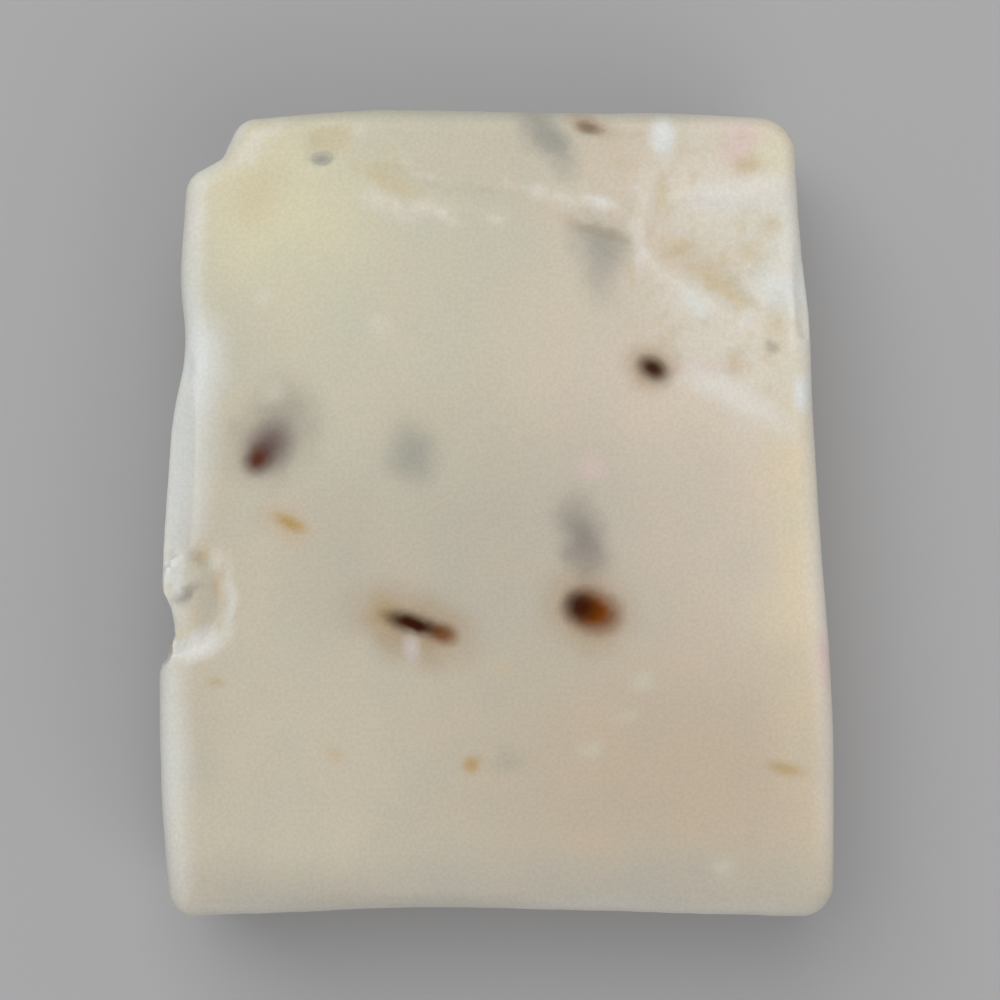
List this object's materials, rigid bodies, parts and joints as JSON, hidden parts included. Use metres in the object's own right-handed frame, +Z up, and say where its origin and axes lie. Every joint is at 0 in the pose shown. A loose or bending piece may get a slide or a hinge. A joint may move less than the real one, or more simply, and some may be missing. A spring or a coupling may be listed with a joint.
{
  "type": "bar of soap",
  "caption": "Worn bar of handmade soap, a slightly tapered slab with a chipped corner and rim, and bark, peel and petal bits set in it.",
  "frame": {"origin": "middle of the underside, at the bottom centre of the bounding box", "axes": "+Y from the foot to the head along the longest side, +Z up out of the cut face, +X to the right"},
  "size_m": [0.0678, 0.0808, 0.024],
  "materials": {
    "soap": "waxy, slightly translucent cream soap",
    "pale_soap": "chalky white soap",
    "bark": "dry brown bark, soaked dark",
    "seed": "grey-green husk",
    "peel": "dried citrus peel",
    "petal": "dried pink petal"
  },
  "bodies": {
    "root": {"soap_bar": "soap", "bark_chip_right": "bark", "bark_chip_left": "bark", "bark_sliver": "bark", "bark_lump": "bark", "bark_chip_head": "bark", "sunk_bark_middle": "bark", "sunk_bark_lump": "bark", "sunk_bark_head": "bark", "sunk_bark_hollow": "bark", "seed": "seed", "peel_flake": "peel", "peel_crumb": "peel", "peel_strand": "peel", "peel_speck": "peel", "petal_head": "petal", "petal_middle": "petal", "petal_side": "petal", "pale_lump": "pale_soap", "pale_speck": "pale_soap"}
  },
  "joints": []
}
